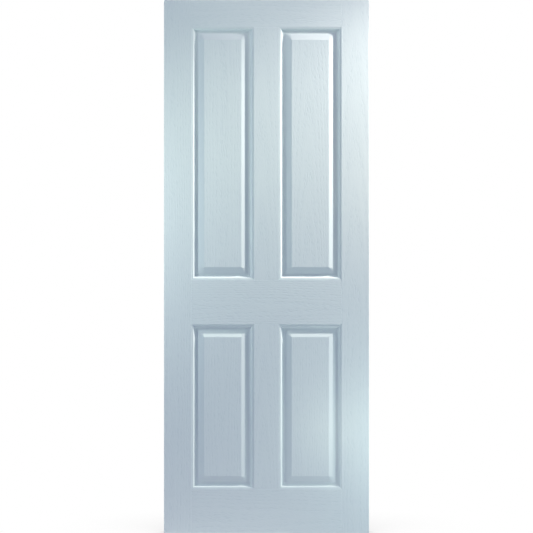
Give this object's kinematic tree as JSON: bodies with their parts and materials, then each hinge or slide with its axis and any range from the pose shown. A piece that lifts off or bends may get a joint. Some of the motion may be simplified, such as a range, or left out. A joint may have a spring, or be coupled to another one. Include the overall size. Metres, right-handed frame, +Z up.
{
  "type": "four-panel moulded door leaf",
  "caption": "Flush-hung interior door leaf, hollow, with pressed skins of tall and short raised panels, softwood frame, lock blocks and paper honeycomb inside.",
  "frame": {"origin": "centre of the leaf's bottom edge, at half its width and half its thickness", "axes": "+X to the right across the front face, +Y from the front face to the back, +Z up the leaf"},
  "size_m": [0.762, 0.035, 1.981],
  "materials": {
    "painted_skin": "pressed woodgrain fibreboard, factory sprayed satin paint",
    "softwood": "planed redwood, bare",
    "core_paper": "kraft paper honeycomb",
    "staple_wire": "galvanised wire"
  },
  "bodies": {
    "root": {"front_skin": "painted_skin", "back_skin": "painted_skin", "left_stile": "softwood", "right_stile": "softwood", "top_rail": "softwood", "bottom_rail": "softwood", "left_lock_block": "softwood", "right_lock_block": "softwood", "lower_paper_core": "core_paper", "middle_paper_core": "core_paper", "upper_paper_core": "core_paper", "staples_top_left": "staple_wire", "staples_top_right": "staple_wire", "staples_bottom_left": "staple_wire", "staples_bottom_right": "staple_wire", "staples_block_left": "staple_wire", "staples_block_right": "staple_wire"}
  },
  "joints": []
}
